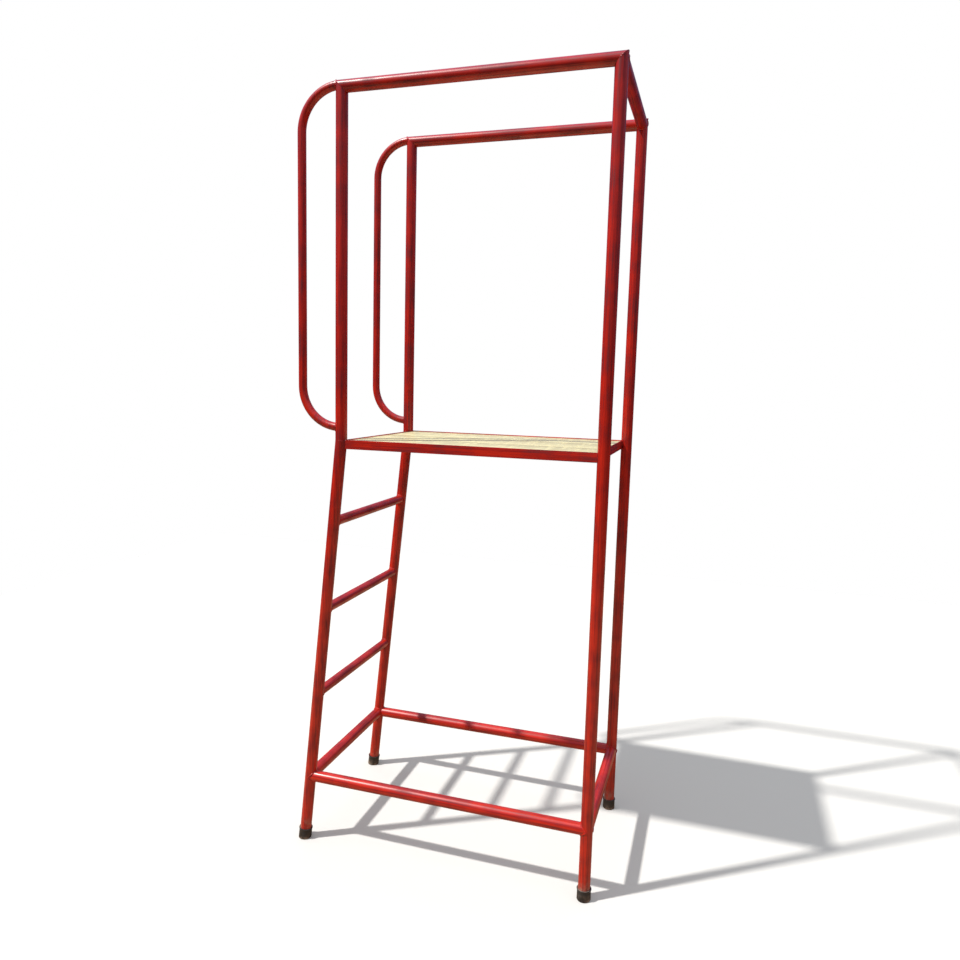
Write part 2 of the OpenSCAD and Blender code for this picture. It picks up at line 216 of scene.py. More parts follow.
# %% Node group helpers
def new_group(name, inputs, outputs):
    """A shader group with its input and output nodes. inputs maps a name to (kind, default)."""
    group = bpy.data.node_groups.new(name, "ShaderNodeTree")
    for label, (kind, default) in inputs.items():
        socket = group.interface.new_socket(
            label, in_out="INPUT", socket_type=f"NodeSocket{kind}"
        )
        if default is not None:
            socket.default_value = default
    for label, kind in outputs.items():
        group.interface.new_socket(label, in_out="OUTPUT", socket_type=f"NodeSocket{kind}")
    given = group.nodes.new("NodeGroupInput").outputs
    return group, given, group.nodes.new("NodeGroupOutput").inputs


def feed(tree, socket, value):
    """Links value into socket when it is an output, or writes it there when it is a number."""
    if isinstance(value, bpy.types.NodeSocket):
        tree.links.new(value, socket)
    elif value is not None:
        socket.default_value = value


def noise(tree, vector, scale, detail=2.0, roughness=0.5):
    node = tree.nodes.new("ShaderNodeTexNoise")
    feed(tree, node.inputs["Vector"], vector)
    feed(tree, node.inputs["Scale"], scale)
    node.inputs["Detail"].default_value = detail
    node.inputs["Roughness"].default_value = roughness
    return node.outputs["Fac"]


def sums(tree, operation, first, second=None, third=None):
    node = tree.nodes.new("ShaderNodeMath")
    node.operation = operation
    for socket, value in zip(node.inputs, (first, second, third)):
        feed(tree, socket, value)
    return node.outputs[0]


def spread(tree, value, low, high, to_low=0.0, to_high=1.0):
    """Maps low..high of a value to to_low..to_high, smoothly and without overshoot."""
    node = tree.nodes.new("ShaderNodeMapRange")
    node.interpolation_type = "SMOOTHSTEP"
    for label, amount in zip(
        ("Value", "From Min", "From Max", "To Min", "To Max"), (value, low, high, to_low, to_high)
    ):
        feed(tree, node.inputs[label], amount)
    return node.outputs[0]


def blend_colours(tree, factor, first, second):
    node = tree.nodes.new("ShaderNodeMix")
    node.data_type = "RGBA"
    feed(tree, node.inputs["Factor"], factor)
    feed(tree, node.inputs[MIX_FIRST], first)
    feed(tree, node.inputs[MIX_SECOND], second)
    return node.outputs[MIX_RESULT]


def stretched(tree, vector, scale, location=(0, 0, 0)):
    node = tree.nodes.new("ShaderNodeMapping")
    feed(tree, node.inputs["Vector"], vector)
    node.inputs["Scale"].default_value = scale
    node.inputs["Location"].default_value = location
    return node.outputs["Vector"]


def split(tree, vector):
    node = tree.nodes.new("ShaderNodeSeparateXYZ")
    feed(tree, node.inputs[0], vector)
    return node.outputs


# %% Dust that settles on top faces and splashes up from the ground
def build_dust_group():
    group, given, out = new_group(
        "settled_dust",
        {
            "Position": ("Vector", None),
            "Splash Height": ("Float", 0.2),
            "Top Dust": ("Float", 0.2),
        },
        {"Mask": "Float"},
    )
    height = split(group, given["Position"])["Z"]
    splash = sums(group, "SUBTRACT", 1.0, sums(group, "DIVIDE", height, given["Splash Height"]))
    splash = sums(group, "MAXIMUM", splash, 0.0)
    facing = group.nodes.new("ShaderNodeNewGeometry")
    upward = spread(group, split(group, facing.outputs["Normal"])["Z"], 0.55, 1.0)
    settled = sums(group, "MULTIPLY", upward, given["Top Dust"])
    patches = spread(group, noise(group, given["Position"], 38, 6, 0.62), 0.38, 0.68)
    amount = sums(group, "MULTIPLY", sums(group, "ADD", splash, settled), patches)
    feed(group, out["Mask"], sums(group, "MINIMUM", amount, 1.0))
    return group


# %% Brush-painted enamel
def build_enamel_group():
    group, given, out = new_group(
        "brushed_enamel",
        {
            "Position": ("Vector", None),
            "Along Brush": ("Vector", None),
            "Paint": ("Color", None),
            "Thin Paint": ("Color", None),
            "Streaks": ("Float", 0.5),
        },
        {"Colour": "Color", "Gloss Loss": "Float", "Height": "Float"},
    )
    patch = spread(group, noise(group, given["Position"], 13, 4), 0.36, 0.68)
    bristle = noise(group, given["Along Brush"], 1.0, 4, 0.6)
    streak = spread(group, bristle, 0.38, 0.66)
    thin = sums(group, "MULTIPLY", streak, given["Streaks"])
    thin = sums(group, "MULTIPLY_ADD", patch, 0.42, thin)
    feed(group, out["Colour"], blend_colours(group, thin, given["Paint"], given["Thin Paint"]))
    feed(group, out["Gloss Loss"], sums(group, "MULTIPLY", patch, streak))
    peel = noise(group, given["Position"], 420, 2)
    ridges = sums(group, "MULTIPLY", bristle, given["Streaks"])
    feed(group, out["Height"], sums(group, "MULTIPLY_ADD", peel, 0.35, ridges))
    return group


dust_group = build_dust_group()
enamel_group = build_enamel_group()
print("groups", dust_group.name, enamel_group.name)


# %% [markdown]
# ## Red enamel
# Enamel brushed on steel tube is even from afar and uneven close by: fine ridges run the way
# the brush went, the coat is thinner and darker in places, and the gloss breaks up with them.
# The ridges follow each tube, so there is one material for each direction, all from the same
# groups. A smooth coat layer over the paint gives the sharp highlight.

# %% Red enamel, one for each brush direction
def group_node(tree, group):
    node = tree.nodes.new("ShaderNodeGroup")
    node.node_tree = group
    return node


def start_material(name):
    material = bpy.data.materials.new(name)
    material.use_nodes = True
    tree = material.node_tree
    place = tree.nodes.new("ShaderNodeTexCoord").outputs["Object"]
    return material, tree, place, tree.nodes["Principled BSDF"]


def bump(tree, shader, height, distance, strength):
    node = tree.nodes.new("ShaderNodeBump")
    node.inputs["Distance"].default_value = distance
    node.inputs["Strength"].default_value = strength
    tree.links.new(height, node.inputs["Height"])
    tree.links.new(node.outputs["Normal"], shader.inputs["Normal"])


RED = (0.60, 0.019, 0.004, 1)
DEEP_RED = (0.20, 0.004, 0.006, 1)
DUST = (0.36, 0.27, 0.21, 1)


def red_enamel(name, brush_scale):
    material, tree, place, shader = start_material(name)
    coat = group_node(tree, enamel_group)
    feed(tree, coat.inputs["Position"], place)
    feed(tree, coat.inputs["Along Brush"], stretched(tree, place, brush_scale))
    coat.inputs["Paint"].default_value = RED
    coat.inputs["Thin Paint"].default_value = DEEP_RED
    coat.inputs["Streaks"].default_value = 0.65
    dust = group_node(tree, dust_group)
    feed(tree, dust.inputs["Position"], place)
    dust.inputs["Splash Height"].default_value = 0.09
    dust.inputs["Top Dust"].default_value = 0.05
    colour = blend_colours(tree, dust.outputs["Mask"], coat.outputs["Colour"], DUST)
    feed(tree, shader.inputs["Base Color"], colour)
    dull = sums(tree, "MAXIMUM", coat.outputs["Gloss Loss"], dust.outputs["Mask"])
    feed(tree, shader.inputs["Roughness"], spread(tree, dull, 0.0, 1.0, 0.34, 0.60))
    shader.inputs["Specular IOR Level"].default_value = 0.45
    shader.inputs["Coat Weight"].default_value = 0.22
    shader.inputs["Coat Roughness"].default_value = 0.16
    bump(tree, shader, coat.outputs["Height"], 0.0006, 0.6)
    return material


ALONG, ACROSS = 5, 190
enamel_z = red_enamel("red_enamel_upright", (ACROSS, ACROSS, ALONG))
enamel_x = red_enamel("red_enamel_lengthwise", (ALONG, ACROSS, ACROSS))
enamel_y = red_enamel("red_enamel_crosswise", (ACROSS, ALONG, ACROSS))
enamel_weld = red_enamel("red_enamel_welds", (60, 60, 60))

# %% [markdown]
# ## How each tube is made
# A fabricator saws a tube, shapes its ends to sit on the tubes they meet, and welds round
# them. Here a cylinder primitive is the sawn tube. A Bisect cuts a mitre, and a Boolean with
# a slightly larger cylinder shapes a saddle end, as a hole saw does. The modifiers are
# applied, so each piece is a plain mesh at the end.

# %% Tube helpers
TUBE_SIDES = 72
SMOOTH_UNDER = math.radians(35)    # sharper edges than this stay crisp


def named(name):
    piece = bpy.context.object
    piece.name = name
    piece.data.name = name
    return piece


def rod(name, start, end, radius):
    """A round bar between two points, with its place in its mesh."""
    clear_selection()
    run = Vector(end) - Vector(start)
    bpy.ops.mesh.primitive_cylinder_add(
        vertices=TUBE_SIDES,
        radius=radius,
        depth=run.length,
        location=(Vector(start) + Vector(end)) / 2,
        rotation=run.to_track_quat("Z", "Y").to_euler(),
    )
    bpy.ops.object.transform_apply(location=True, rotation=True, scale=True)
    return named(name)


def select_only(piece):
    clear_selection()
    piece.select_set(True)
    bpy.context.view_layer.objects.active = piece


def trim(piece, point, away):
    """Cuts off what lies beyond the plane through point, on the side that away points to."""
    select_only(piece)
    bpy.ops.object.mode_set(mode="EDIT")
    bpy.ops.mesh.select_all(action="SELECT")
    bpy.ops.mesh.bisect(plane_co=point, plane_no=away, clear_outer=True, use_fill=True)
    bpy.ops.object.mode_set(mode="OBJECT")


def cut(piece, *cutters):
    """Subtracts each cutter from the piece for good."""
    for cutter in cutters:
        step = piece.modifiers.new("cope", "BOOLEAN")
        step.operation = "DIFFERENCE"
        step.solver = "EXACT"
        step.object = cutter
        select_only(piece)
        bpy.ops.object.modifier_apply(modifier=step.name)
        bpy.data.objects.remove(cutter)


def finish_piece(piece, material, slot, *nodes):
    """Smooths, paints and hands the piece to the frame in place of its CAD nodes."""
    select_only(piece)
    bpy.ops.object.shade_smooth_by_angle(angle=SMOOTH_UNDER)
    piece.data.materials.clear()
    piece.data.materials.append(material)
    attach(piece, "root")
    if nodes:
        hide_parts(*nodes)
    return piece


# %% Extruding, and turned shapes
def drag(offset):
    bpy.ops.mesh.extrude_region_move(TRANSFORM_OT_translate={"value": offset})


def turned(name, rings, sides=64):
    """A turned shape: rings are (height, radius) pairs from the first disc to the last."""
    clear_selection()
    height, radius = rings[0]
    bpy.ops.mesh.primitive_circle_add(
        vertices=sides, radius=radius, location=(0, 0, height), fill_type="NGON"
    )
    bpy.ops.object.transform_apply(location=True, rotation=True, scale=True)
    piece = named(name)
    bpy.ops.object.mode_set(mode="EDIT")
    bpy.ops.mesh.select_all(action="SELECT")
    for next_height, next_radius in rings[1:]:
        drag((0, 0, next_height - height))
        ratio = next_radius / radius
        bpy.ops.transform.resize(value=(ratio, ratio, 1), center_override=(0, 0, next_height))
        height, radius = next_height, next_radius
    bpy.ops.mesh.select_all(action="SELECT")
    bpy.ops.mesh.normals_make_consistent(inside=False)
    bpy.ops.object.mode_set(mode="OBJECT")
    return piece


# %% [markdown]
# ## Uprights, legs and rails
# Each upright line is used twice: once as the tube, and once a little larger as the tool that
# shapes whatever is welded to it, so a joint always fits. The posts and rails are mitred
# at 45 degrees where they meet, and a leg is cut at half its rake where it meets its post.

# %% Lines of the uprights, used as pieces and as cutters
TALL = rail_z + 4 * TUBE_R
MITRE = {"ladder": Vector((1, 0, 1)).normalized(), "far": Vector((-1, 0, 1)).normalized()}
KINK = Vector((math.sin(rake / 2), 0, math.cos(rake / 2)))
WASHER_TOP = 0.009    # the tubes stand on the washers in their ferrules


def far_post_line(y, radius, name="cutter"):
    return rod(name, (far_x, y, WASHER_TOP), (far_x, y, TALL), radius)


def ladder_post_line(y, radius, name="cutter"):
    return rod(name, (ladder_x, y, deck_z - 4 * TUBE_R), (ladder_x, y, TALL), radius)


def leg_line(y, radius, name="cutter"):
    foot = Vector((foot_x, y, 0))
    length = deck_z / math.cos(rake)
    return rod(name, foot + leg_up * WASHER_TOP, foot + leg_up * (length + 2 * TUBE_R), radius)


def bar_line(x, z, radius, name="cutter"):
    """A bar across the stand, from the front side's centre line to the rear side's."""
    return rod(name, (x, front_y, z), (x, rear_y, z), radius)


COPE_R = TUBE_R + COPE_GAP
kink_point = {side: Vector((ladder_x, side[0], deck_z)) for side in (FRONT, REAR)}


def sides():
    return (("front", FRONT), ("rear", REAR))


# %% Uprights and ladder legs
for label, side in sides():
    y = side[0]
    post = far_post_line(y, TUBE_R, f"post_{label}_right_tube")
    trim(post, (far_x, y, rail_z), MITRE["far"])
    finish_piece(post, enamel_z, "red_enamel", f"post_{label}_right")

    post = ladder_post_line(y, TUBE_R, f"post_{label}_left_tube")
    trim(post, (ladder_x, y, rail_z), MITRE["ladder"])
    trim(post, kink_point[side], -KINK)
    finish_piece(post, enamel_z, "red_enamel", f"post_{label}_left")

    leg = leg_line(y, TUBE_R, f"ladder_leg_{label}_tube")
    trim(leg, kink_point[side], KINK)
    finish_piece(leg, enamel_z, "red_enamel", f"ladder_leg_{label}")
    print(f"{label} leg rises", round(leg.dimensions.z, 3), "m, its post",
          round(post.dimensions.z, 3), "m")

# %% Top rails
for label, (y, _) in sides():
    rail = rod(
        f"top_rail_{label}_tube",
        (ladder_x - 2 * TUBE_R, y, rail_z),
        (far_x + 2 * TUBE_R, y, rail_z),
        TUBE_R,
    )
    trim(rail, (ladder_x, y, rail_z), -MITRE["ladder"])
    trim(rail, (far_x, y, rail_z), -MITRE["far"])
    finish_piece(rail, enamel_x, "red_enamel", f"top_rail_{label}")


def corner_cutter(y):
    """The mitred far corner, grown by the cope gap, to shape the end rail's ends."""
    post = far_post_line(y, COPE_R)
    trim(post, (far_x, y, rail_z), MITRE["far"])
    rail = rod("cutter", (ladder_x, y, rail_z), (far_x + 2 * TUBE_R, y, rail_z), COPE_R)
    trim(rail, (far_x, y, rail_z), -MITRE["far"])
    return post, rail


end_rail = bar_line(far_x, rail_z, TUBE_R, "top_rail_end_tube")
cut(end_rail, *corner_cutter(front_y), *corner_cutter(rear_y))
finish_piece(end_rail, enamel_y, "red_enamel", "top_rail_end")
print("end rail", round(end_rail.dimensions.y, 4), "m between saddles")

# %% [markdown]
# ## Rungs and bottom bars
# The cross bars are sawn a little long, then hole-sawn at each end so they saddle the uprights.
# Rungs are thinner tube, which suits a hand and a foot; the bars near the ground are the
# same tube as the posts and stop the legs from spreading.

# %% Rungs, base bars and stretchers
for level in ("lower", "middle", "upper"):
    z = middle(f"rung_{level}").z
    rung = bar_line(leg_x(z), z, RUNG_R, f"rung_{level}_tube")
    cut(rung, leg_line(front_y, COPE_R), leg_line(rear_y, COPE_R))
    finish_piece(rung, enamel_y, "red_enamel", f"rung_{level}")
    print(f"{level} rung at", round(z, 3), "m,", round(rung.dimensions.y, 4), "m long")

base_bar = bar_line(leg_x(base_z), base_z, TUBE_R, "base_bar_ladder_tube")
cut(base_bar, leg_line(front_y, COPE_R), leg_line(rear_y, COPE_R))
finish_piece(base_bar, enamel_y, "red_enamel", "base_bar_ladder_end")

base_bar = bar_line(far_x, base_z, TUBE_R, "base_bar_far_tube")
cut(base_bar, far_post_line(front_y, COPE_R), far_post_line(rear_y, COPE_R))
finish_piece(base_bar, enamel_y, "red_enamel", "base_bar_far_end")

for label, (y, _) in sides():
    stretcher = rod(
        f"stretcher_{label}_tube", (leg_x(base_z), y, base_z), (far_x, y, base_z), TUBE_R
    )
    cut(
        stretcher,
        leg_line(y, COPE_R),
        far_post_line(y, COPE_R),
        bar_line(leg_x(base_z), base_z, COPE_R),
        bar_line(far_x, base_z, COPE_R),
    )
    finish_piece(stretcher, enamel_x, "red_enamel", f"stretcher_{label}")

# %% [markdown]
# ## Grab loops
# Each loop is one length of thinner tube, pulled round two quarter bends. A ring of points
# is dragged along the same path: out from the post, round the lower bend, straight up, round
# the upper bend and back in to the post. Spin makes the bends, as a tube bender does.

# %% Grab loops
LOOP_BEND_R = 0.130
MERGE_NEAR = 0.00001
BEND_STEPS = 20
loop_low, loop_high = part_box("grab_loop_front")
loop_bar_x = loop_low.x + LOOP_R
loop_low_z = loop_low.z + LOOP_R
loop_high_z = loop_high.z - LOOP_R
bend_x = loop_bar_x + LOOP_BEND_R


def grab_loop(label, y):
    clear_selection()
    bpy.ops.mesh.primitive_circle_add(
        vertices=48, radius=LOOP_R, location=(ladder_x, y, loop_low_z),
        rotation=(0, math.radians(90), 0), fill_type="NGON",
    )
    bpy.ops.object.transform_apply(location=True, rotation=True, scale=True)
    loop = named(f"grab_loop_{label}_tube")
    bpy.ops.object.mode_set(mode="EDIT")
    bpy.ops.mesh.select_all(action="SELECT")
    drag((bend_x - ladder_x, 0, 0))
    low_turn = (bend_x, y, loop_low_z + LOOP_BEND_R)
    bpy.ops.mesh.spin(steps=BEND_STEPS, angle=math.radians(90), center=low_turn, axis=(0, -1, 0))
    drag((0, 0, loop_high_z - loop_low_z - 2 * LOOP_BEND_R))
    high_turn = (bend_x, y, loop_high_z - LOOP_BEND_R)
    bpy.ops.mesh.spin(steps=BEND_STEPS, angle=math.radians(90), center=high_turn, axis=(0, -1, 0))
    drag((ladder_x - bend_x, 0, 0))
    bpy.ops.mesh.select_all(action="SELECT")
    bpy.ops.mesh.remove_doubles(threshold=MERGE_NEAR)
    bpy.ops.mesh.normals_make_consistent(inside=False)
    bpy.ops.object.mode_set(mode="OBJECT")
    cut(loop, ladder_post_line(y, COPE_R))
    low, high = Vector(loop.bound_box[0]), Vector(loop.bound_box[6])
    print(f"{label} grab loop runs", [round(c, 3) for c in (*low, *high)])
    return finish_piece(loop, enamel_z, "red_enamel", f"grab_loop_{label}")


for label, (y, _) in sides():
    grab_loop(label, y)

# %% [markdown]
# ## Angle bars round the deck
# Rolled angle bar has a rounded inside corner and slightly rounded edges, which catch the
# light as thin lines. The flat leg is a stretched cube; the strip above the upright leg is
# pulled up out of it, and Bevel rounds the long edges: a big one inside, small ones outside.

# %% Angle bar, made lying along X and then turned into place
ROOT_ROUND = 0.0028
EDGE_ROUND = 0.0007


def select_where(piece, kind, test):
    """In edit mode, selects only the faces or edges whose test is true."""
    bpy.ops.mesh.select_all(action="DESELECT")
    bpy.ops.mesh.select_mode(type=kind)
    bpy.ops.object.mode_set(mode="OBJECT")
    mesh = piece.data
    if kind == "FACE":
        for face in mesh.polygons:
            face.select = test(face.center, face.normal)
    else:
        for edge in mesh.edges:
            ends = [mesh.vertices[i].co for i in edge.vertices]
            edge.select = test((ends[0] + ends[1]) / 2, (ends[1] - ends[0]).normalized())
    bpy.ops.object.mode_set(mode="EDIT")


def angle_bar(name, length):
    clear_selection()
    bpy.ops.mesh.primitive_cube_add(size=1, location=(length / 2, ANGLE_LEG / 2, ANGLE_T / 2))
    bar = named(name)
    bar.scale = (length, ANGLE_LEG, ANGLE_T)
    bpy.ops.object.transform_apply(location=True, rotation=True, scale=True)
    bpy.ops.object.mode_set(mode="EDIT")
    bpy.ops.mesh.select_all(action="SELECT")
    bpy.ops.mesh.bisect(plane_co=(0, ANGLE_T, 0), plane_no=(0, 1, 0))
    select_where(bar, "FACE", lambda at, normal: normal.z > 0.9 and at.y < ANGLE_T)
    drag((0, 0, ANGLE_LEG - ANGLE_T))

    def is_root(at, way):
        return abs(way.x) > 0.9 and abs(at.y - ANGLE_T) < 1e-5 and abs(at.z - ANGLE_T) < 1e-5

    select_where(bar, "EDGE", is_root)
    bpy.ops.mesh.bevel(offset=ROOT_ROUND, segments=5, affect="EDGES")

    def is_outer(at, way):
        near_end = at.y < 1e-5 or at.y > ANGLE_LEG - 1e-5 or at.z > ANGLE_LEG - 1e-5
        return abs(way.x) > 0.9 and near_end

    select_where(bar, "EDGE", is_outer)
    bpy.ops.mesh.bevel(offset=EDGE_ROUND, segments=3, affect="EDGES")
    bpy.ops.object.mode_set(mode="OBJECT")
    return bar


def put(piece, location, turn):
    """Turns a piece about Z, moves it, and keeps both in its mesh."""
    select_only(piece)
    piece.rotation_euler = (0, 0, math.radians(turn))
    piece.location = location
    bpy.ops.object.transform_apply(location=True, rotation=True, scale=True)


def deck_upright_cutters():
    """The four uprights round the deck, kinked like the real ones, grown by the cope gap."""
    cutters = []
    for side in (FRONT, REAR):
        leg = leg_line(side[0], COPE_R)
        trim(leg, kink_point[side], KINK)
        post = ladder_post_line(side[0], COPE_R)
        trim(post, kink_point[side], -KINK)
        cutters += [leg, post, far_post_line(side[0], COPE_R)]
    return cutters


def block(low, high, name="cutter"):
    clear_selection()
    low, high = Vector(low), Vector(high)
    bpy.ops.mesh.primitive_cube_add(size=1, location=(low + high) / 2)
    cube = named(name)
    cube.scale = high - low
    bpy.ops.object.transform_apply(location=True, rotation=True, scale=True)
    return cube


side_low, side_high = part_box("deck_angle_front")
end_x = {"ladder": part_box("deck_angle_ladder_end")[0].x, "far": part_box("deck_angle_far_end")[1].x}
side_length = side_high.x - side_low.x
rear_face_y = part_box("deck_angle_rear")[1].y
for label, corner, turn in (
    ("front", (side_low.x, side_low.y, angle_z), 0),
    ("rear", (side_high.x, rear_face_y, angle_z), 180),
):
    bar = angle_bar(f"deck_angle_{label}_bar", side_length)
    put(bar, corner, turn)
    cut(bar, *deck_upright_cutters())
    finish_piece(bar, enamel_x, "red_enamel", f"deck_angle_{label}")

for label, corner, turn, node in (
    ("ladder", (end_x["ladder"], rear_y, angle_z), -90, "deck_angle_ladder_end"),
    ("far", (end_x["far"], front_y, angle_z), 90, "deck_angle_far_end"),
):
    bar = angle_bar(f"deck_angle_{label}_bar", rear_y - front_y)
    put(bar, corner, turn)
    seat_top = angle_z + ANGLE_T + COPE_GAP
    reach = ANGLE_LEG + COPE_GAP
    notches = [
        block((side_low.x, low_y, angle_z - 0.01), (side_high.x, low_y + reach, seat_top))
        for low_y in (side_low.y, rear_face_y - reach)
    ]
    cut(bar, *notches, *deck_upright_cutters())
    finish_piece(bar, enamel_y, "red_enamel", node)
    print(node, [round(side, 4) for side in bar.dimensions])

# %% [markdown]
# ## Weld beads
# A weld laid by hand is a row of overlapping drops that follows the seam between two tubes.
# A torus has the right section and closes on itself. Each of its rings is slid along the
# branch tube until it rests on the other tube, and ripples are worked into its thickness.

# %% Weld bead helper
BEAD_R = 0.0030
LOOP_BEAD = 0.0022    # thinner tube gets a smaller bead
RIPPLE_PITCH = 0.0034


def weld_ring(at, along, radius, slide, bead=BEAD_R, phase=0.0):
    """A bead round a tube. slide(out) is how far along the tube the seam lies, where out is
    the way from the tube's centre line to its surface."""
    clear_selection()
    turn_to = Vector(along).to_track_quat("Z", "Y")
    ripples = max(12, round(2 * math.pi * radius / RIPPLE_PITCH))
    bpy.ops.mesh.primitive_torus_add(
        major_segments=ripples * 5,
        minor_segments=12,
        major_radius=radius,
        minor_radius=bead,
        location=at,
        rotation=turn_to.to_euler(),
    )
    ring = named("weld_ring")
    for point in ring.data.vertices:
        x, y, z = point.co
        turn = math.atan2(y, x)
        drop = abs(math.sin(turn * ripples / 2 + phase))
        wander = 1 + 0.10 * math.sin(3 * turn + phase) + 0.06 * math.sin(7 * turn + 2 * phase)
        size = (0.86 + 0.20 * drop) * wander
        reach = radius + (math.hypot(x, y) - radius) * size
        out = Vector((math.cos(turn), math.sin(turn), 0))
        point.co = out * reach
        point.co.z = z * size + slide(turn_to @ (out * radius))
    bpy.ops.object.transform_apply(location=True, rotation=True, scale=True)
    return ring


def onto_tube(along, main_way, main_r):
    """Slide function for a branch whose centre line crosses that of a tube along main_way."""
    along, way = Vector(along).normalized(), Vector(main_way).normalized()
    lean = along.dot(way)

    def slide(out):
        side = out.dot(way)
        a = 1 - lean * lean
        b = -2 * side * lean
        c = out.dot(out) - side * side - main_r * main_r
        return (-b + math.sqrt(max(b * b - 4 * a * c, 0.0))) / (2 * a)

    return slide


def saddle_weld(at, along, branch_r, main_way, phase, bead=BEAD_R):
    return weld_ring(at, along, branch_r, onto_tube(along, main_way, TUBE_R), bead, phase)


def join(pieces, name):
    clear_selection()
    for piece in pieces:
        piece.select_set(True)
    bpy.context.view_layer.objects.active = pieces[0]
    bpy.ops.object.join()
    return named(name)


# %% Weld beads round the tubes
inwards = {side: Vector((0, side[1], 0)) for side in (FRONT, REAR)}
UP, RIGHT, LEFT = Vector((0, 0, 1)), Vector((1, 0, 0)), Vector((-1, 0, 0))

beads = []
for number, level in enumerate(("lower", "middle", "upper")):
    z = middle(f"rung_{level}").z
    for side in (FRONT, REAR):
        at = (leg_x(z), side[0], z)
        beads.append(saddle_weld(at, inwards[side], RUNG_R, leg_up, number + side[1]))
finish_piece(join(beads, "weld_beads_ladder"), enamel_weld, "red_enamel", "welds_ladder")

beads = []
for side in (FRONT, REAR):
    for x, upright in ((leg_x(base_z), leg_up), (far_x, UP)):
        beads.append(saddle_weld((x, side[0], base_z), inwards[side], TUBE_R, upright, x))
finish_piece(join(beads, "weld_beads_base_bars"), enamel_weld, "red_enamel", "welds_base_bars")

beads = []
for side in (FRONT, REAR):
    beads.append(saddle_weld((leg_x(base_z), side[0], base_z), RIGHT, TUBE_R, leg_up, 0.4))
    beads.append(saddle_weld((far_x, side[0], base_z), LEFT, TUBE_R, UP, 0.9))
finish_piece(join(beads, "weld_beads_stretchers"), enamel_weld, "red_enamel", "welds_stretchers")

beads = []
for side in (FRONT, REAR):
    for z in (loop_low_z, loop_high_z):
        beads.append(saddle_weld((ladder_x, side[0], z), LEFT, LOOP_R, UP, z, bead=LOOP_BEAD))
finish_piece(join(beads, "weld_beads_grab_loops"), enamel_weld, "red_enamel", "welds_grab_loops")

beads = []
for side in (FRONT, REAR):
    beads.append(saddle_weld((far_x, side[0], rail_z), inwards[side], TUBE_R, UP, side[1]))
finish_piece(join(beads, "weld_beads_end_rail"), enamel_weld, "red_enamel", "welds_end_rail")

# %% [markdown]
# ## Butt welds
# Two tubes cut to the same plane are welded round the cut and dressed almost flush, so
# these beads are thinner and stand out less. The ring is tilted to follow the sloping cut.

# %% Butt welds at the mitred corners and at the legs' kinks
BUTT_BEAD = 0.0014


def butt_weld(at, slope, phase, proud=0.0006):
    """A low bead round an upright tube where a plane crosses it at the given slope in X."""
    ring_r = TUBE_R + proud - BUTT_BEAD
    return weld_ring(at, UP, ring_r, lambda out: slope * out.x, bead=BUTT_BEAD, phase=phase)


beads = []
for side in (FRONT, REAR):
    beads.append(butt_weld((ladder_x, side[0], rail_z), -1, side[1]))
    beads.append(butt_weld((far_x, side[0], rail_z), 1, side[1] + 0.5))
finish_piece(join(beads, "weld_beads_top_corners"), enamel_weld, "red_enamel", "welds_top_corners")

beads = [
    butt_weld(kink_point[side], -math.tan(rake / 2), side[1], proud=0.0003)
    for side in (FRONT, REAR)
]
finish_piece(join(beads, "weld_beads_kinks"), enamel_weld, "red_enamel")

# %% [markdown]
# ## Weld runs at the deck's corners
# The angle bars are welded to the uprights in short straight runs. A run is turned as a thin
# rod whose rings swell and shrink, drop after drop, and taper away at both ends.

# %% Weld runs
RUN_R = 0.0024


def weld_run(start, end, phase):
    run = Vector(end) - Vector(start)
    steps = round(run.length / RIPPLE_PITCH) * 4
    rings = []
    for i in range(steps + 1):
        t = i / steps
        taper = math.sin(math.pi * min(max(t, 0.02), 0.98)) ** 0.35
        drop = abs(math.sin(math.pi * i / 4 + phase))
        rings.append((t * run.length, RUN_R * taper * (0.84 + 0.22 * drop)))
    bead = turned("weld_run", rings, sides=12)
    bead.rotation_euler = run.to_track_quat("Z", "Y").to_euler()
    bead.location = start
    select_only(bead)
    bpy.ops.object.transform_apply(location=True, rotation=True, scale=True)
    return bead


rim_z = angle_z + ANGLE_LEG
side_face = front_y - side_low.y                  # side bars' outer faces, from the post axis
end_face = end_x["ladder"] - ladder_x             # end bars' outer faces, from the post axis
side_seam = math.sqrt(TUBE_R ** 2 - side_face ** 2)
end_seam = math.sqrt(TUBE_R ** 2 - end_face ** 2)
runs = []
for y, inward in (FRONT, REAR):
    for low_x, high_x, towards in ((leg_x(angle_z), ladder_x, 1), (far_x, far_x, -1)):
        side_run = (towards * side_seam, -inward * side_face)
        end_run = (towards * end_face, inward * end_seam)
        for dx, dy in (side_run, end_run):
            start, end = (low_x + dx, y + dy, angle_z), (high_x + dx, y + dy, rim_z)
            runs.append(weld_run(start, end, len(runs) * 0.7))
print(len(runs), "weld runs at the deck")
finish_piece(join(runs, "weld_beads_deck"), enamel_weld, "red_enamel")

# %% [markdown]
# ## Varnished pine
# A board sawn from a trunk shows the tree's rings as long lines and arches, pale where the
# wood grew in spring and amber where it grew in summer. The rings are circles round the heart
# of the tree, so the group measures each point's distance from a heart line that runs along
# the board under its surface, bent by slow noise. Fine fibres, a few knots and the dirt of
# shoes go over them, and a coat of varnish over everything gives the wet shine.

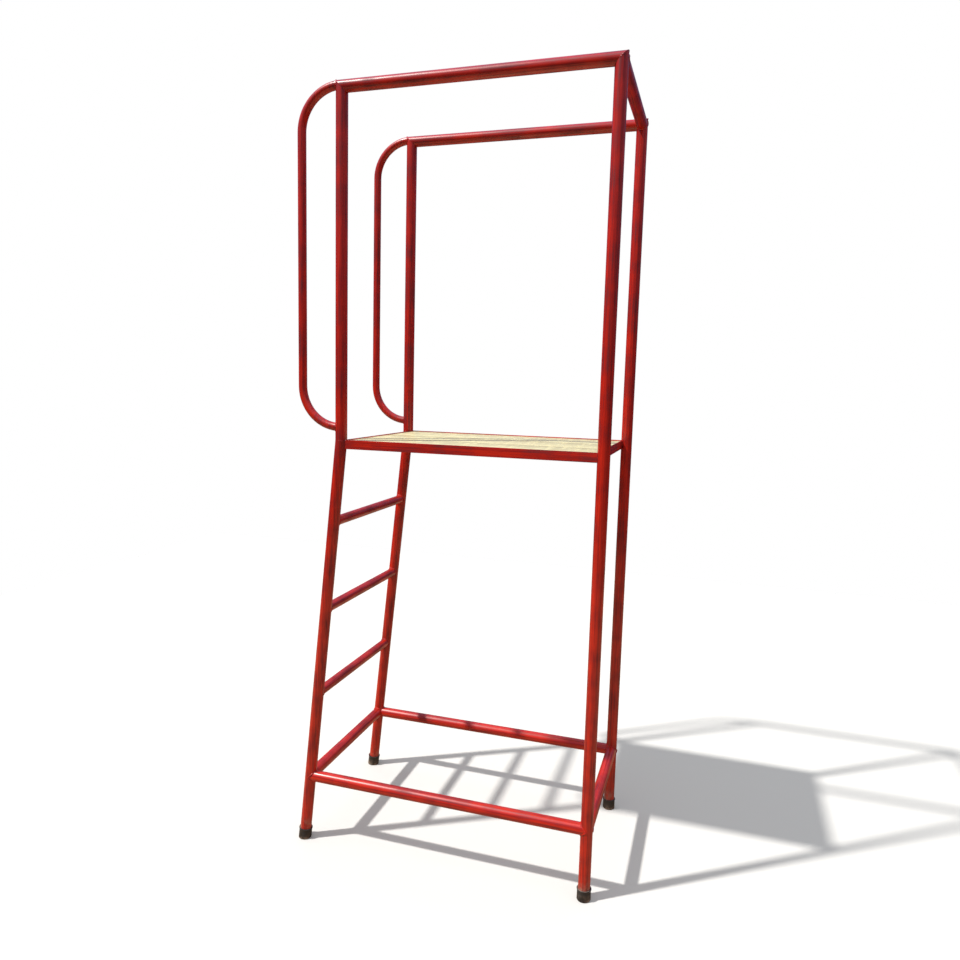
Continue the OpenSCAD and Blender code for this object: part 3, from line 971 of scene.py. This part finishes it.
# %% Softwood grain
def build_wood_group():
    group, given, out = new_group(
        "softwood_grain",
        {
            "From Heart": ("Vector", None),
            "Ring Width": ("Float", 0.0045),
            "Spring Wood": ("Color", None),
            "Summer Wood": ("Color", None),
            "Knot Wood": ("Color", None),
        },
        {"Colour": "Color", "Height": "Float", "Gloss Loss": "Float"},
    )
    at = given["From Heart"]
    place = split(group, at)
    slow = stretched(group, at, (2.2, 9, 9))
    bend_y = sums(group, "MULTIPLY", sums(group, "SUBTRACT", noise(group, slow, 1, 2), 0.5), 0.05)
    slow = stretched(group, at, (1.7, 7, 7), (5, 3, 1))
    bend_z = sums(group, "MULTIPLY", sums(group, "SUBTRACT", noise(group, slow, 1, 2), 0.5), 0.04)

    flat = group.nodes.new("ShaderNodeCombineXYZ")
    feed(group, flat.inputs["X"], sums(group, "MULTIPLY", place["X"], 4.3))
    feed(group, flat.inputs["Y"], sums(group, "MULTIPLY", place["Y"], 9.0))
    cells = group.nodes.new("ShaderNodeTexVoronoi")
    feed(group, cells.inputs["Vector"], flat.outputs[0])
    cells.inputs["Scale"].default_value = 1.0
    knot_far = cells.outputs["Distance"]
    knot = spread(group, knot_far, 0.045, 0.075, 1, 0)
    swerve = sums(group, "MULTIPLY", spread(group, knot_far, 0.0, 0.32, 1, 0), 0.012)

    across = sums(group, "ADD", place["Y"], bend_y)
    deep = sums(group, "ADD", sums(group, "ADD", place["Z"], bend_z), swerve)
    far = sums(group, "SQRT", sums(group, "MULTIPLY_ADD", across, across,
                                   sums(group, "MULTIPLY", deep, deep)))
    ring = sums(group, "FRACT", sums(group, "DIVIDE", far, given["Ring Width"]))
    darkening, ending = spread(group, ring, 0.30, 0.86), spread(group, ring, 0.90, 1.0, 1, 0)
    summer = sums(group, "MULTIPLY", darkening, ending)
    fibres = noise(group, stretched(group, at, (6, 700, 700)), 1, 3, 0.6)
    broad = noise(group, stretched(group, at, (1.5, 14, 14)), 1, 2)
    strength = spread(group, broad, 0.3, 0.7, 0.35, 1.0)
    summer = sums(group, "MULTIPLY", summer, strength)
    summer = sums(group, "MULTIPLY_ADD", sums(group, "SUBTRACT", fibres, 0.5), 0.35, summer)
    summer = sums(group, "MINIMUM", sums(group, "MAXIMUM", summer, 0.0), 1.0)
    wood = blend_colours(group, summer, given["Spring Wood"], given["Summer Wood"])
    feed(group, out["Colour"], blend_colours(group, knot, wood, given["Knot Wood"]))
    feed(group, out["Height"], sums(group, "MULTIPLY_ADD", fibres, 0.5, summer))
    scuffs = noise(group, stretched(group, at, (60, 9, 9)), 1, 5, 0.7)
    feed(group, out["Gloss Loss"], spread(group, scuffs, 0.42, 0.72))
    return group


wood_group = build_wood_group()
print("group", wood_group.name, "with", len(wood_group.nodes), "nodes")

# %% Pine, one log for each board
SPRING_WOOD = (0.82, 0.78, 0.48, 1)
SUMMER_WOOD = (0.58, 0.48, 0.23, 1)
KNOT_WOOD = (0.24, 0.11, 0.035, 1)


def varnished_pine(name, heart):
    material, tree, place, shader = start_material(name)
    grain = group_node(tree, wood_group)
    centred = stretched(tree, place, (1, 1, 1), tuple(-v for v in heart))
    feed(tree, grain.inputs["From Heart"], centred)
    grain.inputs["Ring Width"].default_value = 0.0045
    grain.inputs["Spring Wood"].default_value = SPRING_WOOD
    grain.inputs["Summer Wood"].default_value = SUMMER_WOOD
    grain.inputs["Knot Wood"].default_value = KNOT_WOOD
    dust = group_node(tree, dust_group)
    feed(tree, dust.inputs["Position"], place)
    dust.inputs["Splash Height"].default_value = 0.001
    dust.inputs["Top Dust"].default_value = 0.025
    colour = blend_colours(tree, dust.outputs["Mask"], grain.outputs["Colour"], DUST)
    feed(tree, shader.inputs["Base Color"], colour)
    dull = sums(tree, "MAXIMUM", grain.outputs["Gloss Loss"], dust.outputs["Mask"])
    feed(tree, shader.inputs["Roughness"], spread(tree, dull, 0.0, 1.0, 0.34, 0.60))
    feed(tree, shader.inputs["Coat Weight"], spread(tree, dull, 0.0, 1.0, 0.25, 0.05))
    shader.inputs["Specular IOR Level"].default_value = 0.2
    shader.inputs["Coat Roughness"].default_value = 0.18
    bump(tree, shader, grain.outputs["Height"], 0.0001, 0.2)
    return material


# %% [markdown]
# ## Deck boards
# Three planed softwood boards lie inside the angle frame, about three millimetres below its
# rim. Each is a cube stretched to its board, with its arrises eased by Bevel, and the outer
# boards are scooped at the corners to clear the posts.

# %% Deck boards
BOARD_ROUND = 0.0022
NOTCH_R = TUBE_R + 0.002


def deck_board(label, material):
    node = f"deck_board_{label}"
    board = block(*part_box(node), name=f"{node}_plank")
    bpy.ops.object.mode_set(mode="EDIT")
    bpy.ops.mesh.select_all(action="SELECT")
    bpy.ops.mesh.bevel(offset=BOARD_ROUND, segments=3, affect="EDGES")
    bpy.ops.object.mode_set(mode="OBJECT")
    low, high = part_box(node)
    for y in (front_y, rear_y):
        if low.y - NOTCH_R < y < high.y + NOTCH_R:
            notches = [rod("cutter", (x, y, low.z - 0.01), (x, y, high.z + 0.01), NOTCH_R)
                       for x in (ladder_x, far_x)]
            cut(board, *notches)
    return finish_piece(board, material, "varnished_pine", node)


for label, heart in (
    ("front", (0.0, front_y + 0.060, deck_z - 0.085)),
    ("middle", (0.0, 0.035, deck_z - 0.060)),
    ("rear", (0.0, rear_y - 0.130, deck_z - 0.110)),
):
    deck_board(label, varnished_pine(f"varnished_pine_{label}", heart))

# %% [markdown]
# ## Rubber ferrules
# A ferrule is a moulded rubber cup: a rounded sole, a slightly tapered wall and a rolled lip
# round its mouth. It is turned like work on a lathe: a disc is pulled up ring by ring,
# widening and narrowing, then in over the lip and down inside to the floor of the cup. The
# ladder legs lean, so their ferrules lean too, and their soles are cut level with the ground.

# %% Ferrules
FERRULE_RINGS = (
    (-0.0050, 0.0220), (0.0060, 0.0220), (0.0300, 0.0217), (0.0325, 0.0219), (0.0338, 0.0228),
    (0.0350, 0.02325), (0.0366, 0.02325), (0.0377, 0.0227), (0.0380, 0.0216), (0.0380, 0.0200),
    (0.0374, 0.0192), (0.0090, 0.0192),
)
SOLE_ROUND = 0.0022


def ferrule(label, x, y, lean, material):
    cup = turned(f"ferrule_{label}_cup", FERRULE_RINGS)
    cup.rotation_euler = (0, lean, 0)
    cup.location = (x, y, 0)
    select_only(cup)
    bpy.ops.object.transform_apply(location=True, rotation=True, scale=True)
    trim(cup, (x, y, 0), (0, 0, -1))
    bpy.ops.object.mode_set(mode="EDIT")
    select_where(cup, "EDGE", lambda at, way: at.z < 1e-5)
    bpy.ops.mesh.bevel(offset=SOLE_ROUND, segments=4, affect="EDGES")
    bpy.ops.object.mode_set(mode="OBJECT")
    return finish_piece(cup, material, "black_rubber", f"ferrule_{label}")


RUBBER_BLACK = (0.016, 0.0145, 0.014, 1)
RUBBER_GREY = (0.040, 0.037, 0.035, 1)


def black_rubber():
    material, tree, place, shader = start_material("black_rubber")
    bloom = spread(tree, noise(tree, place, 55, 5, 0.6), 0.40, 0.70)
    grain = noise(tree, place, 1400, 3)
    dust = group_node(tree, dust_group)
    feed(tree, dust.inputs["Position"], place)
    dust.inputs["Splash Height"].default_value = 0.026
    dust.inputs["Top Dust"].default_value = 0.5
    rubber_colour = blend_colours(tree, bloom, RUBBER_BLACK, RUBBER_GREY)
    colour = blend_colours(tree, dust.outputs["Mask"], rubber_colour, DUST)
    feed(tree, shader.inputs["Base Color"], colour)
    dull = sums(tree, "MAXIMUM", bloom, dust.outputs["Mask"])
    feed(tree, shader.inputs["Roughness"], spread(tree, dull, 0.0, 1.0, 0.42, 0.85))
    bump(tree, shader, grain, 0.0002, 0.5)
    return material


rubber = black_rubber()
for label, (y, _) in sides():
    ferrule(f"{label}_left", foot_x, y, rake, rubber)
    straight = ferrule(f"{label}_right", far_x, y, 0.0, rubber)
    print(f"{label} ferrule", [round(side, 4) for side in straight.dimensions])

# %% [markdown]
# ## Screws and washers
# Twelve pan-head screws go up through the end bars into the boards. They are under the deck,
# where someone looking up the ladder sees them. One head is turned ring by ring, a cross is
# sunk into its crown, and the others are copies, each turned a little, because no two screws
# stop at the same angle.

# %% Zinc-plated steel
ZINC_PALE = (0.62, 0.63, 0.64, 1)
ZINC_DULL = (0.36, 0.35, 0.33, 1)


def zinc_steel():
    material, tree, place, shader = start_material("zinc_steel")
    cloud = spread(tree, noise(tree, place, 120, 4, 0.6), 0.35, 0.70)
    dust = group_node(tree, dust_group)
    feed(tree, dust.inputs["Position"], place)
    dust.inputs["Splash Height"].default_value = 0.02
    dust.inputs["Top Dust"].default_value = 0.1
    zinc_colour = blend_colours(tree, cloud, ZINC_PALE, ZINC_DULL)
    colour = blend_colours(tree, dust.outputs["Mask"], zinc_colour, DUST)
    feed(tree, shader.inputs["Base Color"], colour)
    feed(tree, shader.inputs["Roughness"], spread(tree, cloud, 0.0, 1.0, 0.28, 0.50))
    shader.inputs["Metallic"].default_value = 1.0
    bump(tree, shader, noise(tree, place, 900, 3), 0.0001, 0.5)
    return material


zinc = zinc_steel()
for washer_slot in bpy.data.objects["ferrule_washers"].material_slots:
    washer_slot.material = zinc

# %% Board screws
HEAD_RINGS = (
    (0.0160, 0.0006), (0.0150, 0.0014), (0.0125, 0.0023), (0.0000, 0.0025), (0.0000, 0.0050),
    (-0.0012, 0.0049), (-0.0023, 0.0043), (-0.0030, 0.0031), (-0.0032, 0.0016),
)
CROSS_WIDE, CROSS_THICK, CROSS_DEEP = 0.0052, 0.0011, 0.0016
SCREW_APART = 0.110


def pan_head_screw():
    """A screw seen from below: its seat at height 0, its crown below and its shank above."""
    screw = turned("board_screw", HEAD_RINGS, sides=32)
    crown = HEAD_RINGS[-1][0]
    arms = []
    for half_x, half_y in ((CROSS_WIDE / 2, CROSS_THICK / 2), (CROSS_THICK / 2, CROSS_WIDE / 2)):
        low = (-half_x, -half_y, crown - CROSS_DEEP)
        arms.append(block(low, (half_x, half_y, crown + CROSS_DEEP)))
    cut(screw, *arms)
    return screw


def copy_at(piece, location, turn):
    select_only(piece)
    bpy.ops.object.duplicate(linked=False)
    twin = bpy.context.object
    twin.rotation_euler = (0, 0, turn)
    twin.location = location
    bpy.ops.object.transform_apply(location=True, rotation=True, scale=True)
    return twin


screw_low, screw_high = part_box("board_screws")
HEAD_R = 0.005
pattern_screw = pan_head_screw()
screws = []
for x in (screw_low.x + HEAD_R, screw_high.x - HEAD_R):
    for label in ("front", "middle", "rear"):
        for step in (-1, 1):
            y = middle(f"deck_board_{label}").y + step * SCREW_APART / 2
            screws.append(copy_at(pattern_screw, (x, y, angle_z), len(screws) * 1.3))
bpy.data.objects.remove(pattern_screw)
print(len(screws), "screws")
finish_piece(join(screws, "board_screw_set"), zinc, "zinc_steel", "board_screws")
